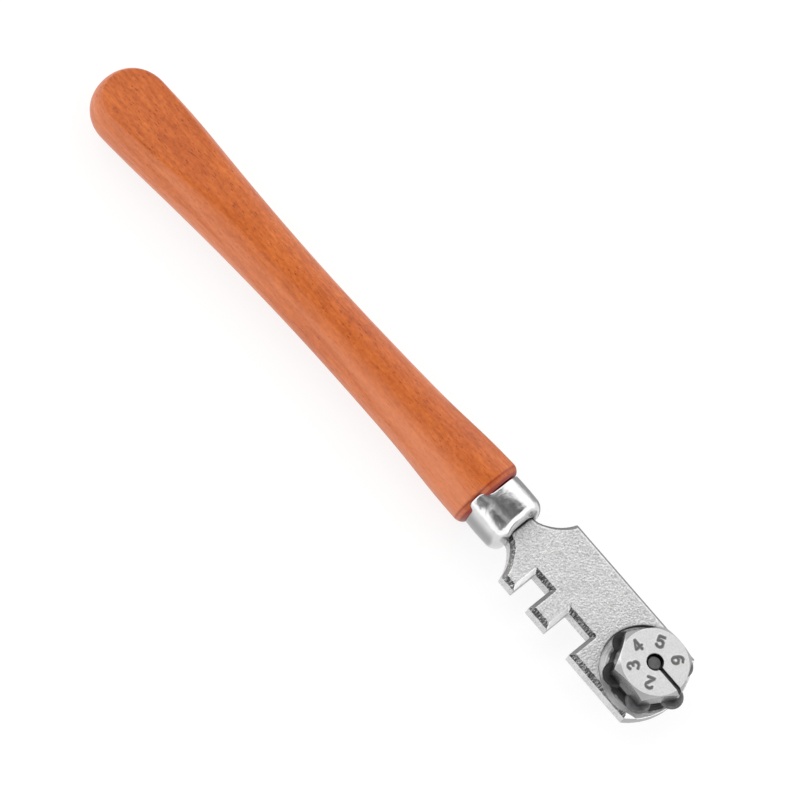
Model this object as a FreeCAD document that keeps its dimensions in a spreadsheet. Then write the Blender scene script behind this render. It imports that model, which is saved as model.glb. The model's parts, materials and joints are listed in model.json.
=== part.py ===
"""Glass cutter with a turned wooden handle and a turret of six cutting wheels.

The row frame has its origin at the middle of the tool's bounding box. +X runs along the tool towards
the cutting wheels, +Z is square to the head plate on the side of the numbered turret cap, and the
plate's straight edge faces +Y, with the glass-breaking notches on -Y. All sizes are in millimetres.
"""

import FreeCAD, Part
import os
import re
import Sketcher

from FreeCAD import Placement, Rotation, Vector

PARTS_FOLDER = "parts"
WHEEL_COUNT = 6
TURRET_STEP = 360 / WHEEL_COUNT

# Driving dimensions. Lengths along the head are measured from the turret's pivot.
SIZES = {
    # Where the head's centre line and the pivot stand in the row frame.
    "pivot_along": 77.7,
    "head_aside": 0.9,
    # Head plate, cast in one piece with its neck and tang.
    "plate_width": 20.4,
    "plate_thick": 4.25,
    "plate_corner": 4.25,
    "plate_end_radius": 14.75,
    "plate_bevel": 0.95,
    "back_bevel": 0.35,
    "notch_depth": 6.05,
    "wide_notch_near": 12.7,
    "wide_notch_far": 19.35,
    "narrow_notch_near": 25.2,
    "narrow_notch_far": 29.75,
    "notched_shoulder": 33.6,
    "straight_shoulder": 32.15,
    "notched_curve": 11.0,
    "straight_curve": 10.4,
    "neck_width": 7.2,
    "tang_width": 5.8,
    "tang_tip_width": 3.0,
    "tang_thick": 3.4,
    "tang_length": 36.0,
    # Round recess for the turret, and the hole for its screw.
    "recess_radius": 9.95,
    "recess_depth": 1.5,
    "pivot_hole_radius": 1.75,
    "screw_pocket_radius": 3.3,
    "screw_pocket_depth": 1.8,
    # Ferrule, a drawn steel cup.
    "ferrule_front": 38.35,
    "ferrule_length": 9.05,
    "ferrule_radius": 7.0,
    "ferrule_wall": 0.6,
    "ferrule_curve": 3.0,
    # Handle, measured back from its shoulder at the ferrule.
    "handle_shoulder": 47.7,
    "handle_set_angle": 1.8,
    "handle_length": 117.5,
    "butt_radius": 8.6,
    "shoulder_round": 2.2,
    "shoulder_radius": 7.1,
    "spigot_radius": 6.1,
    "spigot_length": 8.2,
    "spigot_round": 2.4,
    "flat_height": 4.7,
    "flat_rise": 3.0,
    "flat_length": 60.0,
    # Turret: washer, base with hub, wheels, cap and screw, upwards from the recess floor.
    "washer_thick": 0.3,
    "washer_radius": 4.6,
    "base_thick": 1.4,
    "base_corner": 7.85,
    "hub_radius": 3.9,
    "wheel_gap": 0.1,
    "wheel_thick": 1.1,
    "wheel_radius": 2.75,
    "wheel_edge": 0.42,
    "wheel_circle": 7.0,
    "axle_radius": 0.5,
    "axle_clearance": 0.04,
    "axle_sink": 1.0,
    "cap_corner": 8.41,
    "cap_height": 4.8,
    "cap_face_radius": 7.2,
    "cap_crown": 1.25,
    "cap_hole_radius": 1.85,
    "cap_hole_depth": 3.4,
    "cap_slot_width": 0.8,
    "cap_slot_depth": 2.6,
    "screw_radius": 1.7,
    "thread_radius": 1.375,
    "thread_sink": 0.6,
    "screw_head_radius": 3.0,
    "screw_head_height": 1.3,
    "screw_slot_width": 0.9,
    "screw_slot_depth": 0.6,
    "spring_washer_thick": 0.4,
    "spring_washer_radius": 2.9,
}

# Radius of the handle at each distance behind its shoulder, from the ferrule end to the butt.
HANDLE_STATIONS = {
    "ferrule_end": (1.9, 8.2),
    "ferrule_swell": (8.4, 7.98),
    "front_taper": (18.4, 7.3),
    "front_grip": (31.4, 6.82),
    "waist": (52.4, 6.58),
    "rear_grip": (71.4, 6.95),
    "rear_taper": (88.4, 7.75),
    "rear_swell": (100.4, 8.4),
    "butt": (108.9, 8.6),
}


for _station, (_back, _radius) in HANDLE_STATIONS.items():
    SIZES[f"{_station}_back"] = _back
    SIZES[f"{_station}_radius"] = _radius

# Heights of the turret's layers above the middle of the plate.
RECESS_FLOOR = "plate_thick / 2 - recess_depth"
BASE_BOTTOM = f"{RECESS_FLOOR} + washer_thick"
BASE_TOP = f"{BASE_BOTTOM} + base_thick"
WHEEL_BOTTOM = f"{BASE_TOP} + wheel_gap"
CAP_BOTTOM = f"{WHEEL_BOTTOM} + wheel_thick + wheel_gap"
CAP_TOP = f"{CAP_BOTTOM} + cap_height"
POCKET_FLOOR = "-plate_thick / 2 + screw_pocket_depth"
SCREW_HEAD_TOP = f"{POCKET_FLOOR} - spring_washer_thick"
SCREW_HEAD_BOTTOM = f"{SCREW_HEAD_TOP} - screw_head_height"


def make_sheet(doc):
    """Spreadsheet with one named cell for each driving dimension."""
    sheet = doc.addObject("Spreadsheet::Sheet", "Sizes")
    for row, (name, size) in enumerate(SIZES.items(), start=1):
        sheet.set(f"A{row}", name)
        sheet.set(f"B{row}", str(size))
        sheet.setAlias(f"B{row}", name)
    doc.recompute()
    return sheet


def in_sheet(formula):
    """The formula with every dimension's name pointed at its cell."""
    return re.sub(r"[a-z_]+", lambda name: f"Sizes.{name.group(0)}", formula)


def amount(formula):
    """Value of a sum such as 'neck_width / 2 + ferrule_wall', for a sketch's first guess."""
    total = 0.0
    for term in formula.replace("- ", "+ -").split("+ "):
        name, _, divisor = term.strip().partition(" / ")
        sign = -1.0 if name.startswith("-") else 1.0
        name = name.lstrip("-")
        size = SIZES[name] if name in SIZES else float(name)
        total += sign * size / float(divisor or 1)
    return total


def bind(item, **formulas):
    """Bind properties of a document object to formulas of the driving dimensions."""
    for name, formula in formulas.items():
        item.setExpression(name, in_sheet(formula))


def place(item, x="0", y="0", z="0", rotation=None):
    """Put an object in the row frame, its position bound to the driving dimensions."""
    item.Placement = Placement(Vector(amount(x), amount(y), amount(z)), rotation or Rotation())
    for axis, formula in (("x", x), ("y", y), ("z", z)):
        if formula != "0":
            item.setExpression(f"Placement.Base.{axis}", in_sheet(formula))


def new_body(doc, name):
    """Empty PartDesign body with a label of its own."""
    body = doc.addObject("PartDesign::Body", name)
    body.Label = name
    return body


def new_sketch(body, name, plane):
    """Sketch on one of the body's own origin planes."""
    sketch = body.newObject("Sketcher::SketchObject", name)
    support = next(item for item in body.Origin.OriginFeatures if item.Role == plane)
    sketch.AttachmentSupport = [(support, "")]
    sketch.MapMode = "FlatFace"
    return sketch


def hold_point(sketch, geometry, point, x, y):
    """Fix one point of a sketch at driven distances from the sketch's origin."""
    for kind, formula, label in (("DistanceX", x, "x"), ("DistanceY", y, "y")):
        value = amount(formula)
        if value == 0:
            axis = -2 if kind == "DistanceX" else -1
            sketch.addConstraint(Sketcher.Constraint("PointOnObject", geometry, point, axis))
            continue
        index = sketch.addConstraint(Sketcher.Constraint(kind, -1, 1, geometry, point, value))
        title = f"{label}{geometry}_{point}"
        sketch.renameConstraint(index, title)
        sketch.setExpression(f"Constraints.{title}", in_sheet(formula))


def draw_outline(sketch, corners):
    """Closed outline through driven corners. A corner is (x, y), or (x, y, via) where the edge that
    leaves it is an arc of driven radius: via is (radius, centre x, centre y, clockwise)."""
    points = [Vector(amount(corner[0]), amount(corner[1]), 0) for corner in corners]
    for number, corner in enumerate(corners):
        start, end = points[number], points[(number + 1) % len(points)]
        if len(corner) == 3:
            radius, centre, clockwise = corner[2]
            sketch.addGeometry(arc_between(start, end, amount(radius), centre, clockwise), False)
        else:
            sketch.addGeometry(Part.LineSegment(start, end), False)
    for number, corner in enumerate(corners):
        clockwise = len(corner) == 3 and corner[2][2]
        follower = (number + 1) % len(corners)
        next_clockwise = len(corners[follower]) == 3 and corners[follower][2][2]
        end_point = 1 if clockwise else 2
        next_start = 2 if next_clockwise else 1
        sketch.addConstraint(Sketcher.Constraint("Coincident", number, end_point, follower, next_start))
    for number, corner in enumerate(corners):
        clockwise = len(corner) == 3 and corner[2][2]
        hold_point(sketch, number, 2 if clockwise else 1, corner[0], corner[1])
        if len(corner) == 3:
            index = sketch.addConstraint(Sketcher.Constraint("Radius", number, amount(corner[2][0])))
            sketch.renameConstraint(index, f"radius{number}")
            sketch.setExpression(f"Constraints.radius{number}", in_sheet(corner[2][0]))


def arc_between(start, end, radius, side, clockwise):
    """Arc of a radius from start to end, its centre on the left (+1) or right (-1) of that way."""
    chord = end - start
    middle = (start + end) / 2
    rise = (radius**2 - (chord.Length / 2) ** 2) ** 0.5
    left = Vector(-chord.y, chord.x, 0) / chord.Length
    centre = middle + left * rise * side
    circle = Part.Circle(centre, Vector(0, 0, 1), radius)
    first, last = (end, start) if clockwise else (start, end)
    return Part.ArcOfCircle(circle, circle.parameter(first), circle.parameter(last))


def draw_circle(sketch, radius, x="0", y="0"):
    """Circle of driven radius."""
    centre = Vector(amount(x), amount(y), 0)
    number = sketch.addGeometry(Part.Circle(centre, Vector(0, 0, 1), amount(radius)), False)
    hold_point(sketch, number, 3, x, y)
    index = sketch.addConstraint(Sketcher.Constraint("Radius", number, amount(radius)))
    sketch.renameConstraint(index, f"radius{number}")
    sketch.setExpression(f"Constraints.radius{number}", in_sheet(radius))


def pad(body, sketch, name, length, symmetric=False):
    """Pad a sketch by a driven length."""
    feature = body.newObject("PartDesign::Pad", name)
    feature.Profile = sketch
    feature.SideType = "Symmetric" if symmetric else "One side"
    bind(feature, Length=length)
    return feature


def pocket(body, sketch, name, length, symmetric=False, reverse=False):
    """Pocket a sketch by a driven depth and make sure that it removes material."""
    body.Document.recompute()
    before = body.Shape.Volume
    feature = body.newObject("PartDesign::Pocket", name)
    feature.Profile = sketch
    feature.SideType = "Symmetric" if symmetric else "One side"
    feature.Reversed = reverse
    bind(feature, Length=length)
    body.Document.recompute()
    if not body.Shape.Volume < before:
        raise RuntimeError(f"{name} removes nothing")
    return feature


def revolve(body, sketch, name, axis):
    """Full turn of a sketch about one of the body's own axes."""
    feature = body.newObject("PartDesign::Revolution", name)
    feature.Profile = sketch
    line = next(item for item in body.Origin.OriginFeatures if item.Role == axis)
    feature.ReferenceAxis = (line, [""])
    feature.Angle = 360
    return feature


def flat_edges(shape, height):
    """Names of the edges that lie wholly at one height."""
    names = []
    for number, edge in enumerate(shape.Edges, start=1):
        box = edge.BoundBox
        if abs(box.ZMin - height) < 1e-4 and abs(box.ZMax - height) < 1e-4:
            names.append(f"Edge{number}")
    return names


def make_head_casting(doc):
    """Plate with two notches, its neck, and the tang that is driven into the handle."""
    body = new_body(doc, "head_casting")
    outline = new_sketch(body, "plate_outline", "XY_Plane")
    edge, far = "plate_width / 2", "-plate_width / 2"
    floor = "-plate_width / 2 + notch_depth"
    corners = [
        ("-ferrule_front", "neck_width / 2"),
        ("-ferrule_front", "-neck_width / 2", ("notched_curve", -1, True)),
        ("-notched_shoulder", far),
        ("-narrow_notch_far", far),
        ("-narrow_notch_far", floor),
        ("-narrow_notch_near", floor),
        ("-narrow_notch_near", far),
        ("-wide_notch_far", far),
        ("-wide_notch_far", floor),
        ("-wide_notch_near", floor),
        ("-wide_notch_near", far),
        ("plate_corner", far, ("plate_end_radius", 1, False)),
        ("plate_corner", edge),
        ("-straight_shoulder", edge, ("straight_curve", -1, True)),
    ]
    draw_outline(outline, corners)
    plate = pad(body, outline, "plate", "plate_thick", symmetric=True)
    doc.recompute()
    half = amount("plate_thick / 2")
    for name, height, size in (("front_bevel", half, "plate_bevel"), ("rear_bevel", -half, "back_bevel")):
        previous = body.Tip
        bevel = body.newObject("PartDesign::Chamfer", name)
        bevel.Base = (previous, bevelled_edges(previous.Shape, height))
        bind(bevel, Size=size)
        doc.recompute()

    recess = new_sketch(body, "recess_outline", "XY_Plane")
    lift_sketch(recess, "plate_thick / 2")
    draw_circle(recess, "recess_radius")
    pocket(body, recess, "recess", "recess_depth")

    screw_pocket = new_sketch(body, "screw_pocket_outline", "XY_Plane")
    lift_sketch(screw_pocket, "-plate_thick / 2")
    draw_circle(screw_pocket, "screw_pocket_radius")
    pocket(body, screw_pocket, "screw_pocket", "screw_pocket_depth", reverse=True)

    hole = new_sketch(body, "pivot_hole_outline", "XY_Plane")
    draw_circle(hole, "pivot_hole_radius")
    pocket(body, hole, "pivot_hole", "plate_thick + plate_thick", symmetric=True)

    tang = new_sketch(body, "tang_outline", "XY_Plane")
    draw_outline(tang, tang_corners())
    pad(body, tang, "tang", "tang_thick", symmetric=True)
    place(body, "pivot_along", "head_aside")
    return body


def bevelled_edges(shape, height):
    """Edges of the plate's outline at one height, but not the neck's end, which stands on the ferrule."""
    names = []
    for name in flat_edges(shape, height):
        box = shape.getElement(name).BoundBox
        if box.XMax > -SIZES["ferrule_front"] + 1e-4:
            names.append(name)
    return names


def lift_sketch(sketch, height):
    """Move a sketch along its normal by a driven height."""
    sketch.AttachmentOffset = Placement(Vector(0, 0, amount(height)), Rotation())
    sketch.setExpression("AttachmentOffset.Base.z", in_sheet(height))


def tang_corners():
    """Tapered outline of the tang, measured from the pivot."""
    tip = "-ferrule_front - tang_length"
    return [
        ("-ferrule_front", "tang_width / 2"),
        (tip, "tang_tip_width / 2"),
        (tip, "-tang_tip_width / 2"),
        ("-ferrule_front", "-tang_width / 2"),
    ]


def make_ferrule(doc):
    """Drawn steel cup over the end of the handle, pierced for the head's tang."""
    body = new_body(doc, "ferrule")
    profile = new_sketch(body, "cup_profile", "XY_Plane")
    front, rim = "-ferrule_front", "-ferrule_front - ferrule_length"
    inner_front = "-ferrule_front - ferrule_wall"
    curve = "-ferrule_front - ferrule_curve"
    inner_curve_radius = "ferrule_curve - ferrule_wall"
    corners = [
        (front, "0"),
        (front, "ferrule_radius - ferrule_curve", ("ferrule_curve", 1, False)),
        (curve, "ferrule_radius"),
        (rim, "ferrule_radius"),
        (rim, "ferrule_radius - ferrule_wall"),
        (curve, "ferrule_radius - ferrule_wall", (inner_curve_radius, -1, True)),
        (inner_front, "ferrule_radius - ferrule_curve"),
        (inner_front, "0"),
    ]
    draw_outline(profile, corners)
    revolve(body, profile, "cup", "X_Axis")
    opening = new_sketch(body, "tang_opening", "YZ_Plane")
    lift_sketch(opening, "-ferrule_front - ferrule_curve")
    draw_rectangle(opening, "tang_width / 2", "tang_thick / 2")
    pocket(body, opening, "front_hole", "ferrule_curve + ferrule_curve", reverse=True)
    place(body, "pivot_along", "head_aside")
    return body


def draw_rectangle(sketch, half_wide, half_high):
    """Rectangle centred on the sketch's origin."""
    corners = [
        (f"-{half_wide}", f"-{half_high}"),
        (half_wide, f"-{half_high}"),
        (half_wide, half_high),
        (f"-{half_wide}", half_high),
    ]
    draw_outline(sketch, corners)


def make_handle(doc):
    """Turned handle with a round butt, two thumb flats, a spigot in the ferrule and the tang's hole."""
    body = new_body(doc, "handle")
    sections = []
    for name in HANDLE_STATIONS:
        section = new_sketch(body, f"section_{name}", "YZ_Plane")
        lift_sketch(section, f"-{name}_back")
        draw_circle(section, f"{name}_radius")
        sections.append(section)
    grip = body.newObject("PartDesign::AdditiveLoft", "grip")
    grip.Profile = sections[0]
    grip.Sections = sections[1:]
    doc.recompute()

    butt = new_sketch(body, "butt_profile", "XY_Plane")
    centre, tip = "-handle_length + butt_radius", "-handle_length"
    draw_outline(butt, [(centre, "0"), (centre, "butt_radius", ("butt_radius", 1, False)), (tip, "0")])
    revolve(body, butt, "butt", "X_Axis")

    shoulder = new_sketch(body, "shoulder_profile", "XY_Plane")
    corners = [
        ("-ferrule_end_back", "0"),
        ("spigot_length", "0"),
        ("spigot_length", "spigot_radius - spigot_round", ("spigot_round", 1, False)),
        ("spigot_length - spigot_round", "spigot_radius"),
        ("0", "spigot_radius"),
        ("0", "shoulder_radius", ("shoulder_round", 1, False)),
        ("-ferrule_end_back", "ferrule_end_radius"),
    ]
    draw_outline(shoulder, corners)
    revolve(body, shoulder, "shoulder", "X_Axis")

    flat = new_sketch(body, "flat_outline", "XZ_Plane")
    run_out = "-handle_length + flat_length"
    clear = "butt_radius + flat_rise"
    corners = [
        ("-handle_length - flat_rise", "flat_height"),
        (run_out, "flat_height + flat_rise"),
        (run_out, clear),
        ("-handle_length - flat_rise", clear),
    ]
    draw_outline(flat, corners)
    upper = pocket(body, flat, "upper_flat", "butt_radius * 3", symmetric=True)
    lower = body.newObject("PartDesign::Mirrored", "lower_flat")
    lower.Originals = [upper]
    plane = next(item for item in body.Origin.OriginFeatures if item.Role == "XY_Plane")
    lower.MirrorPlane = (plane, [""])
    body.Tip = lower
    doc.recompute()

    # The tang follows the head, so its hole is turned back by the angle that the handle is set at.
    hole = new_sketch(body, "tang_hole_outline", "XY_Plane")
    turn = Rotation(Vector(0, 0, 1), SIZES["handle_set_angle"])
    back = turn.inverted()
    hole.AttachmentOffset = Placement(back.multVec(Vector(SIZES["handle_shoulder"], 0, 0)), back)
    draw_outline(hole, tang_corners())
    pocket(body, hole, "tang_hole", "tang_thick", symmetric=True)
    place(body, "pivot_along - handle_shoulder", "head_aside", rotation=turn)
    return body


def make_washer(doc, name, radius, thick, height):
    """Flat washer round the pivot screw."""
    body = new_body(doc, name)
    outline = new_sketch(body, f"{name}_outline", "XY_Plane")
    draw_circle(outline, radius)
    draw_circle(outline, "pivot_hole_radius")
    pad(body, outline, f"{name}_disc", thick)
    place(body, "pivot_along", "head_aside", height)
    return body


def make_pivot_screw(doc):
    """Slotted screw up through the plate, its thread in the turret cap."""
    body = new_body(doc, "pivot_screw")
    profile = new_sketch(body, "screw_profile", "XZ_Plane")
    tip = f"{CAP_TOP} - thread_sink"
    corners = [
        ("0", SCREW_HEAD_BOTTOM),
        ("screw_head_radius", SCREW_HEAD_BOTTOM),
        ("screw_head_radius", SCREW_HEAD_TOP),
        ("screw_radius", SCREW_HEAD_TOP),
        ("screw_radius", CAP_BOTTOM),
        ("thread_radius", CAP_BOTTOM),
        ("thread_radius", tip),
        ("0", tip),
    ]
    draw_outline(profile, corners)
    revolve(body, profile, "screw", "Z_Axis")
    slot = new_sketch(body, "driver_slot_outline", "XY_Plane")
    lift_sketch(slot, SCREW_HEAD_BOTTOM)
    draw_rectangle(slot, "screw_slot_width / 2", "screw_head_radius")
    pocket(body, slot, "driver_slot", "screw_slot_depth", reverse=True)
    place(body, "pivot_along", "head_aside")
    return body


def make_wheel(doc, number):
    """Hardened cutting wheel with a V edge, lying over its corner of the turret base."""
    body = new_body(doc, f"cutting_wheel_{number}")
    profile = new_sketch(body, f"wheel_profile_{number}", "XZ_Plane")
    bore = "axle_radius + axle_clearance"
    corners = [
        (bore, "0"),
        ("wheel_radius - wheel_edge", "0"),
        ("wheel_radius", "wheel_thick / 2"),
        ("wheel_radius - wheel_edge", "wheel_thick"),
        (bore, "wheel_thick"),
    ]
    draw_outline(profile, corners)
    revolve(body, profile, f"wheel_{number}", "Z_Axis")
    place_on_circle(body, number, WHEEL_BOTTOM)
    return body


def place_on_circle(item, number, height, x="pivot_along", y="head_aside"):
    """Put an object at a turret corner. Corner 1 faces +X and the rest follow clockwise from above."""
    angle = -TURRET_STEP * (number - 1)
    arm = Rotation(Vector(0, 0, 1), angle).multVec(Vector(SIZES["wheel_circle"], 0, 0))
    item.Placement = Placement(Vector(amount(x), amount(y), amount(height)) + arm, Rotation())
    item.setExpression("Placement.Base.x", f"{in_sheet(x)} + Sizes.wheel_circle * cos({angle} deg)")
    item.setExpression("Placement.Base.y", f"{in_sheet(y)} + Sizes.wheel_circle * sin({angle} deg)")
    item.setExpression("Placement.Base.z", in_sheet(height))


def primitive(doc, kind, name, height, **sizes):
    """Part primitive on the pivot's axis at a driven height, its sizes bound to formulas."""
    item = doc.addObject(f"Part::{kind}", name)
    bind(item, **sizes)
    place(item, z=height)
    return item


def axle_holes(doc, owner, height, length):
    """Round tools for the axle holes at the turret's corners."""
    tools = []
    for number in range(1, WHEEL_COUNT + 1):
        tool = doc.addObject("Part::Cylinder", f"{owner}_axle_hole_{number}")
        bind(tool, Radius="axle_radius", Height=length)
        place_on_circle(tool, number, height, x="0", y="0")
        tools.append(tool)
    return tools


def cut_away(doc, name, base, tools):
    """Sub-part left when several tools are cut from a base solid."""
    together = doc.addObject("Part::MultiFuse", f"{name}_tools")
    together.Shapes = tools
    piece = doc.addObject("Part::Cut", name)
    piece.Base = base
    piece.Tool = together
    piece.Label = name
    place(piece, "pivot_along", "head_aside")
    return piece


def make_turret_base(doc):
    """Six-cornered plate under the wheels, with the hub that carries the cap."""
    plate = primitive(doc, "Prism", "base_plate", BASE_BOTTOM, Circumradius="base_corner", Height="base_thick")
    hub_height = "base_thick + wheel_gap + wheel_thick + wheel_gap"
    hub = primitive(doc, "Cylinder", "base_hub", BASE_BOTTOM, Radius="hub_radius", Height=hub_height)
    solid = doc.addObject("Part::Fuse", "base_solid")
    solid.Base = plate
    solid.Tool = hub
    bore = primitive(doc, "Cylinder", "base_bore", BASE_BOTTOM, Radius="screw_radius", Height=hub_height)
    holes = axle_holes(doc, "base", BASE_BOTTOM, "base_thick")
    return cut_away(doc, "turret_base", solid, [bore, *holes])


def make_turret_cap(doc):
    """Hexagonal cap with a turned crown, a stepped screw hole and a slot out to corner 1."""
    hexagon = primitive(doc, "Prism", "cap_hexagon", CAP_BOTTOM, Circumradius="cap_corner", Height="cap_height")
    widest = "cap_face_radius + cap_crown"
    shank = primitive(doc, "Cylinder", "cap_turning", CAP_BOTTOM, Radius=widest, Height="cap_height - cap_crown")
    crown = primitive(
        doc,
        "Cone",
        "cap_crown_turning",
        f"{CAP_TOP} - cap_crown",
        Radius1=widest,
        Radius2="cap_face_radius",
        Height="cap_crown",
    )
    turning = doc.addObject("Part::Fuse", "cap_envelope")
    turning.Base = shank
    turning.Tool = crown
    solid = doc.addObject("Part::Common", "cap_solid")
    solid.Base = hexagon
    solid.Tool = turning

    thread = primitive(doc, "Cylinder", "cap_thread", CAP_BOTTOM, Radius="thread_radius", Height="cap_height")
    mouth_floor = f"{CAP_TOP} - cap_hole_depth"
    mouth = primitive(doc, "Cylinder", "cap_mouth", mouth_floor, Radius="cap_hole_radius", Height="cap_hole_depth")
    slot = doc.addObject("Part::Box", "cap_slot")
    bind(slot, Length="cap_corner", Width="cap_slot_width", Height="cap_slot_depth")
    place(slot, y="-cap_slot_width / 2", z=f"{CAP_TOP} - cap_slot_depth")
    holes = axle_holes(doc, "cap", CAP_BOTTOM, "axle_sink")
    return cut_away(doc, "turret_cap", solid, [thread, mouth, slot, *holes])


def make_axle(doc, number):
    """Pin that one cutting wheel turns on, fixed in the turret base and the cap."""
    axle = doc.addObject("Part::Cylinder", f"wheel_axle_{number}")
    axle.Label = f"wheel_axle_{number}"
    length = "base_thick + wheel_gap + wheel_thick + wheel_gap + axle_sink"
    bind(axle, Radius="axle_radius", Height=length)
    place_on_circle(axle, number, BASE_BOTTOM)
    return axle


def check(doc, pieces):
    """Stop unless every object has recomputed and every sub-part is a valid closed solid."""
    for item in doc.Objects:
        if any(state in ("Invalid", "Error") for state in item.State):
            raise RuntimeError(f"{item.Label} did not recompute: {item.State}")
    for piece in pieces:
        if piece.Shape.isNull() or not piece.Shape.isValid() or not piece.Shape.Solids:
            raise RuntimeError(f"{piece.Label} has no valid shape")


def main():
    """Build the glass cutter and write each of its pieces to a file of its own."""
    doc = FreeCAD.newDocument("glass_cutter")
    make_sheet(doc)
    corners = range(1, WHEEL_COUNT + 1)
    pieces = [
        make_handle(doc),
        make_ferrule(doc),
        make_head_casting(doc),
        make_washer(doc, "thrust_washer", "washer_radius", "washer_thick", RECESS_FLOOR),
        make_washer(doc, "spring_washer", "spring_washer_radius", "spring_washer_thick", SCREW_HEAD_TOP),
        make_pivot_screw(doc),
        make_turret_base(doc),
        make_turret_cap(doc),
        *(make_wheel(doc, number) for number in corners),
        *(make_axle(doc, number) for number in corners),
    ]
    doc.recompute()
    check(doc, pieces)
    os.makedirs(PARTS_FOLDER, exist_ok=True)
    for piece in pieces:
        piece.Shape.exportStep(os.path.join(PARTS_FOLDER, f"{piece.Label}.step"))
        print(f"{piece.Label}: {piece.Shape.Volume:.2f} cubic mm")


main()
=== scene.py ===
"""Looks of the glass cutter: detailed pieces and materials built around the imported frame.

Meshes are worked out in millimetres in the row frame and scaled to metres when they become objects.
"""

import json
import math

import bmesh
import bpy
import numpy as np
from mathutils import Matrix, Vector, noise


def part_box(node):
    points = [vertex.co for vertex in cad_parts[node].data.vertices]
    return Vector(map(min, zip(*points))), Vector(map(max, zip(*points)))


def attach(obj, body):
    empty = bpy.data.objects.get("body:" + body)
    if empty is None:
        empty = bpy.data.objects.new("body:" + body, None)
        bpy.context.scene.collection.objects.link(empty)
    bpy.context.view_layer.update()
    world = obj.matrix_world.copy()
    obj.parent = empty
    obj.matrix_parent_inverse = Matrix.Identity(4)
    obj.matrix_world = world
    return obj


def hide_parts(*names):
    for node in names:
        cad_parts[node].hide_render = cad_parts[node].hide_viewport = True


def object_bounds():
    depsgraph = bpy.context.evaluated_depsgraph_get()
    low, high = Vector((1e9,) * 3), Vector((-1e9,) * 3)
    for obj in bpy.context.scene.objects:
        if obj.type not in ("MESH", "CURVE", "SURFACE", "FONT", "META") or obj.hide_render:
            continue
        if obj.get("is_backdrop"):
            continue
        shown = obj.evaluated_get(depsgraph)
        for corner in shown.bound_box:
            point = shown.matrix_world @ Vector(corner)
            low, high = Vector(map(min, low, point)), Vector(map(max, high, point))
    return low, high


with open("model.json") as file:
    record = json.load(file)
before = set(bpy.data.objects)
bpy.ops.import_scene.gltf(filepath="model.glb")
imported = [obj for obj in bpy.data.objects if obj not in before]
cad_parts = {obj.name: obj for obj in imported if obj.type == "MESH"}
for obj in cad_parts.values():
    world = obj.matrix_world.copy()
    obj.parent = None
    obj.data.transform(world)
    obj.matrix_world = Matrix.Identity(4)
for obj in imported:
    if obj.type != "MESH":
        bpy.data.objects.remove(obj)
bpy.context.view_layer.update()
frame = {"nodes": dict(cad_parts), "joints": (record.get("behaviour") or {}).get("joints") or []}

MM = 0.001
JOINTS = {joint["name"]: joint for joint in frame["joints"]}
PIVOT = Vector(JOINTS["turret_index"]["pos_m"]) / MM
PIVOT.z = 0.0
WHEEL_NAMES = [f"cutting_wheel_{number}" for number in range(1, 7)]
AXLE_NAMES = [f"wheel_axle_{number}" for number in range(1, 7)]

# Camera: the direction from the tool to the camera, its roll, and what it frames.
CAMERA_AZIMUTH = 16.44
CAMERA_ELEVATION = 65.0
CAMERA_ROLL = -34.1
CAMERA_DISTANCE = 1.2
FRAME_WIDTH = 0.1634
SENSOR_WIDTH = 36.0
AIM_BEHIND_PIVOT = 75.0
AIM_ASIDE = -0.93


def node_box(name):
    """Lowest and highest corner of a CAD node, in millimetres."""
    low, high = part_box(name)
    return low / MM, high / MM


# ---------------------------------------------------------------- meshes


def new_object(name, mesh, material):
    """Object from a mesh in millimetres, scaled to metres."""
    mesh.transform(Matrix.Scale(MM, 4))
    piece = bpy.data.objects.new(name, mesh)
    bpy.context.scene.collection.objects.link(piece)
    mesh.materials.clear()
    mesh.materials.append(material)
    mesh.polygons.foreach_set("use_smooth", [True] * len(mesh.polygons))
    return piece


def grid_mesh(name, rings, closed_ends=True):
    """Mesh through rings of points, each ring closed, with a fan over each end."""
    count = len(rings[0])
    points = [point for ring in rings for point in ring]
    faces = []
    for row in range(len(rings) - 1):
        for column in range(count):
            beside = (column + 1) % count
            low, high = row * count, (row + 1) * count
            faces.append((low + column, low + beside, high + beside, high + column))
    if closed_ends:
        for row, flip in ((0, True), (len(rings) - 1, False)):
            centre = len(points)
            ring = np.array(rings[row])
            points.append(tuple(ring.mean(axis=0)))
            for column in range(count):
                beside = (column + 1) % count
                first, second = row * count + column, row * count + beside
                faces.append((second, first, centre) if flip else (first, second, centre))
    mesh = bpy.data.meshes.new(name)
    mesh.from_pydata([tuple(map(float, point)) for point in points], [], faces)
    mesh.update()
    return mesh


def turned_mesh(name, profile, centre, segments=96):
    """Closed ring of revolution: profile is (along, radius) points round the section, in order."""
    rings = []
    for along, radius in profile:
        ring = []
        for step in range(segments):
            turn = 2 * math.pi * step / segments
            across, up = radius * math.cos(turn), radius * math.sin(turn)
            ring.append((centre[0] + across, centre[1] + up, centre[2] + along))
        rings.append(ring)
    rings.append(rings[0])
    mesh = grid_mesh(name, rings, closed_ends=False)
    return merged(mesh)


def merged(mesh, distance=1e-5):
    """Join points that coincide and point every face outwards."""
    work = bmesh.new()
    work.from_mesh(mesh)
    bmesh.ops.remove_doubles(work, verts=work.verts, dist=distance)
    bmesh.ops.recalc_face_normals(work, faces=work.faces)
    work.to_mesh(mesh)
    work.free()
    return mesh


def node_mesh(name):
    """Copy of a CAD node's mesh, in millimetres, its coincident points joined."""
    mesh = frame["nodes"][name].data.copy()
    mesh.transform(Matrix.Scale(1 / MM, 4))
    return merged(mesh)


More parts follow.
